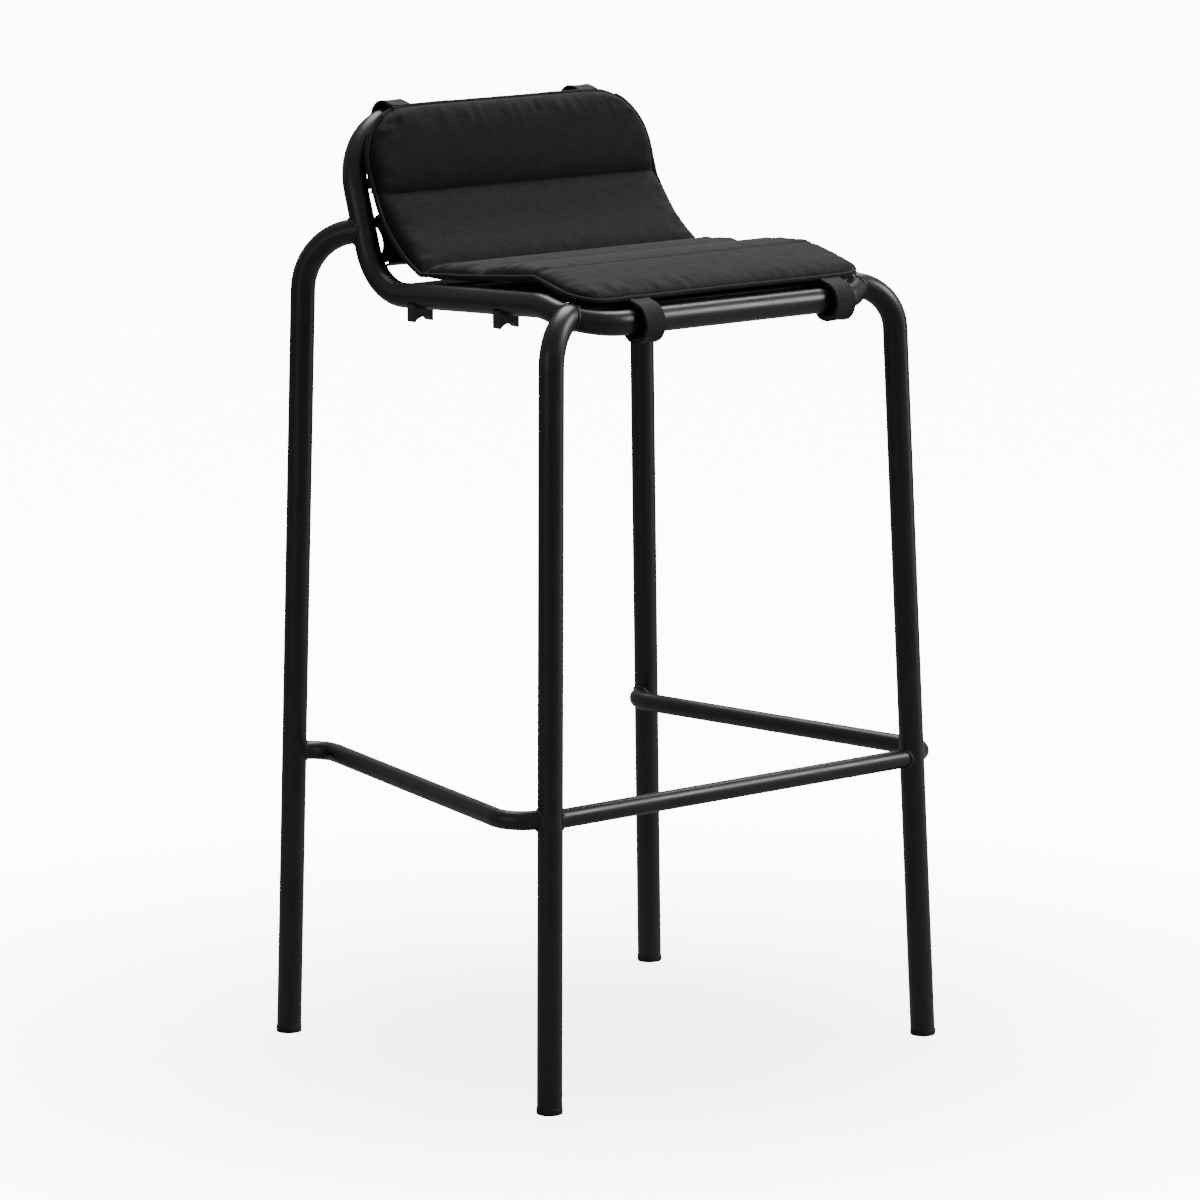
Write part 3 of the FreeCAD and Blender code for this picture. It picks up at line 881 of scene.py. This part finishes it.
def weld_ring(name, end, towards, radius, onto):
    """A rippled bead where a tube's end meets another tube, found on the other tube's skin."""
    tree = BVHTree.FromPolygons(
        [vertex.co.copy() for vertex in frame["nodes"][onto].data.vertices],
        [tuple(face.vertices) for face in frame["nodes"][onto].data.polygons],
    )
    axis = towards.normalized()
    side = axis.orthogonal().normalized()
    other = axis.cross(side)
    points = []
    for step in range(WELD_POINTS):
        angle = 2.0 * math.pi * step / WELD_POINTS
        spoke = (side * math.cos(angle) + other * math.sin(angle)) * (radius + WELD_OUT)
        hit = tree.ray_cast(end + spoke - axis * WELD_BACK, axis, WELD_BACK + WELD_AHEAD)[0]
        if hit is not None:
            points.append(hit)
    if len(points) < WELD_POINTS * WELD_FOUND:
        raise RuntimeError("weld %s found only %d points" % (name, len(points)))

    lump_height, lumps = WELD_LUMP

    def radius_at(step):
        ripple = WELD_RIPPLE * math.sin(step * 2.0 * math.pi / WELD_RIPPLE_POINTS)
        return WELD_R + ripple + lump_height * noise(points[step] * lumps)

    bead = roll_ring(name, points, radius_at, WELD_SIDES)
    put_on(bead, WELD_COAT, smooth=80.0)


def corner_point(side, forward_angle, lift):
    """A point of the loop's centre line on its front corner."""
    angle = math.radians(forward_angle)
    x = LOOP_HALF_WIDTH - FRONT_BEND_R + FRONT_BEND_R * math.cos(angle)
    slope = math.atan2(SEAT_CREST[1] - SEAT_FRONT[1], SEAT_CREST[0] - SEAT_FRONT[0])
    along = FRONT_BEND_R * (1.0 - math.sin(angle))
    y = SEAT_FRONT[0] + along * math.cos(slope)
    z = SEAT_FRONT[1] + along * math.sin(slope) + lift
    return Vector((side * x, y, z))


def at_height(foot, knee, height, side):
    """The point of a leg's centre line at a height."""
    point = Vector(foot).lerp(Vector(knee), height / knee[2])
    return Vector((side * point.x, point.y, point.z))


def weld_leg_tops(side, word):
    """The beads where one side's legs meet the loop."""
    top = corner_point(side, FRONT_JOINT_ANGLE, FRONT_JOINT_LIFT)
    knee = Vector((side * FRONT_KNEE[0], *FRONT_KNEE[1:]))
    weld_ring("front_leg_weld_" + word, top, top - knee, FRAME_R, "seat_back_loop")
    rise = (REAR_JOINT_Z - SEAT_REAR[1]) / (BACK_TOP[1] - SEAT_REAR[1])
    top = Vector((side * LOOP_HALF_WIDTH, lerp(SEAT_REAR[0], BACK_TOP[0], rise), REAR_JOINT_Z))
    knee = Vector((side * REAR_KNEE[0], *REAR_KNEE[1:]))
    weld_ring("rear_leg_weld_" + word, top, top - knee, FRAME_R, "seat_back_loop")


def weld_footrest(side, word):
    """The beads where the footrest's bars meet one side's legs."""
    end = at_height(FRONT_FOOT, FRONT_KNEE, FRONT_BAR_Z, side)
    weld_ring("front_bar_weld_" + word, end, Vector((side, 0.0, 0.0)), BAR_R,
              "front_leg_" + word)
    end = at_height(FRONT_FOOT, FRONT_KNEE, SIDE_BAR_FRONT_Z, side)
    bend = Vector((side * SIDE_BAR_FRONT_BEND[0], SIDE_BAR_FRONT_BEND[1], SIDE_BAR_FRONT_Z))
    weld_ring("side_bar_front_weld_" + word, end, end - bend, BAR_R,
              "front_leg_" + word)
    end = at_height(REAR_FOOT, REAR_KNEE, SIDE_BAR_REAR_Z, side)
    bend = Vector((side * SIDE_BAR_REAR_BEND[0], SIDE_BAR_REAR_BEND[1], SIDE_BAR_REAR_Z))
    weld_ring("side_bar_rear_weld_" + word, end, end - bend, BAR_R,
              "rear_leg_" + word)


for side, word in ((-1.0, "left"), (1.0, "right")):
    weld_leg_tops(side, word)
    weld_footrest(side, word)


# ---- foot glides --------------------------------------------------------------------------

def make_glide_lip(name, foot, side):
    """The rounded lip of one foot glide."""
    place = (side * foot[0], foot[1], LIP_BASE + LIP_HEIGHT / 2.0)
    bpy.ops.mesh.primitive_cylinder_add(
        vertices=LIP_SIDES, radius=LIP_R, depth=LIP_HEIGHT, location=place)
    lip = named(name)
    settle(lip)
    rounding = lip.modifiers.new("rounding", "BEVEL")
    rounding.width = LIP_ROUND
    rounding.segments = 4
    rounding.limit_method = "ANGLE"
    apply_all(lip)
    put_on(lip, GLIDE_PLASTIC)


for side, word in ((-1.0, "left"), (1.0, "right")):
    make_glide_lip("glide_lip_front_" + word, FRONT_FOOT, side)
    make_glide_lip("glide_lip_rear_" + word, REAR_FOOT, side)


# ---- camera, floor and light --------------------------------------------------------------

def place_camera():
    """A long lens at about eye height, in front of the stool and on the -X side."""
    azimuth, elevation = math.radians(CAMERA_AZIMUTH), math.radians(CAMERA_ELEVATION)
    roll = math.radians(CAMERA_ROLL)
    back = Vector((
        math.sin(azimuth) * math.cos(elevation),
        -math.cos(azimuth) * math.cos(elevation),
        math.sin(elevation),
    ))
    right = Vector((math.cos(azimuth), math.sin(azimuth), 0.0))
    up = back.cross(right)
    right_rolled = right * math.cos(roll) + up * math.sin(roll)
    up_rolled = up * math.cos(roll) - right * math.sin(roll)
    data = bpy.data.cameras.new("camera")
    data.lens = CAMERA_LENS
    data.sensor_width = CAMERA_SENSOR
    data.clip_end = 60.0
    camera = bpy.data.objects.new("camera", data)
    bpy.context.scene.collection.objects.link(camera)
    turn = Matrix((right_rolled, up_rolled, back)).transposed()
    camera.matrix_world = Matrix.Translation(CAMERA_PLACE) @ turn.to_4x4()
    bpy.context.scene.camera = camera


def make_floor():
    """A pale floor that glows to the camera only, with a dimmer glow under the stool as a painted
    shadow.
    """
    bpy.ops.mesh.primitive_plane_add(size=FLOOR_SIZE, location=(0.0, 0.0, 0.0))
    floor = named("studio_floor")
    material, nodes, links, shader = blank_material("pale floor")
    shader.inputs["Base Color"].default_value = (0.9, 0.9, 0.9, 1.0)
    shader.inputs["Roughness"].default_value = 1.0
    shader.inputs["Specular IOR Level"].default_value = 0.0
    shader.inputs["Emission Color"].default_value = (1.0, 1.0, 1.0, 1.0)
    place = nodes.new("ShaderNodeTexCoord")
    reach = nodes.new("ShaderNodeVectorMath")
    reach.operation = "LENGTH"
    links.new(place.outputs["Object"], reach.inputs[0])
    # the glow is dimmed round the middle to paint a soft shadow under the stool
    glow = ramp(nodes, links, reach.outputs["Value"], FLOOR_GLOW_PAINTED_SHADOW, FLOOR_GLOW,
                FLOOR_GLOW_FROM, FLOOR_GLOW_TO)
    links.new(glow, shader.inputs["Emission Strength"])
    dim = nodes.new("ShaderNodeBsdfDiffuse")
    dim.inputs["Color"].default_value = (FLOOR_BOUNCE, FLOOR_BOUNCE, FLOOR_BOUNCE, 1.0)
    seen = nodes.new("ShaderNodeLightPath")
    mix = nodes.new("ShaderNodeMixShader")
    links.new(seen.outputs["Is Camera Ray"], mix.inputs[0])
    links.new(dim.outputs[0], mix.inputs[1])
    links.new(shader.outputs[0], mix.inputs[2])
    links.new(mix.outputs[0], nodes["Material Output"].inputs["Surface"])
    floor.data.materials.append(material)


def soft_light(name, place, size, power):
    """A large square light that faces the middle of the stool."""
    data = bpy.data.lights.new(name, "AREA")
    data.size = size
    data.energy = power
    light = bpy.data.objects.new(name, data)
    bpy.context.scene.collection.objects.link(light)
    light.location = place
    light.rotation_euler = (LIGHT_AIM - Vector(place)).to_track_quat("-Z", "Y").to_euler()


def light_scene():
    """Even white light from all round, and the soft lights."""
    world = bpy.data.worlds.new("studio")
    world.use_nodes = True
    background = world.node_tree.nodes["Background"]
    background.inputs["Color"].default_value = (1.0, 1.0, 1.0, 1.0)
    background.inputs["Strength"].default_value = WORLD_LIGHT
    bpy.context.scene.world = world
    for name, (place, size, power) in LIGHTS.items():
        soft_light(name, place, size, power)


place_camera()
make_floor()
light_scene()
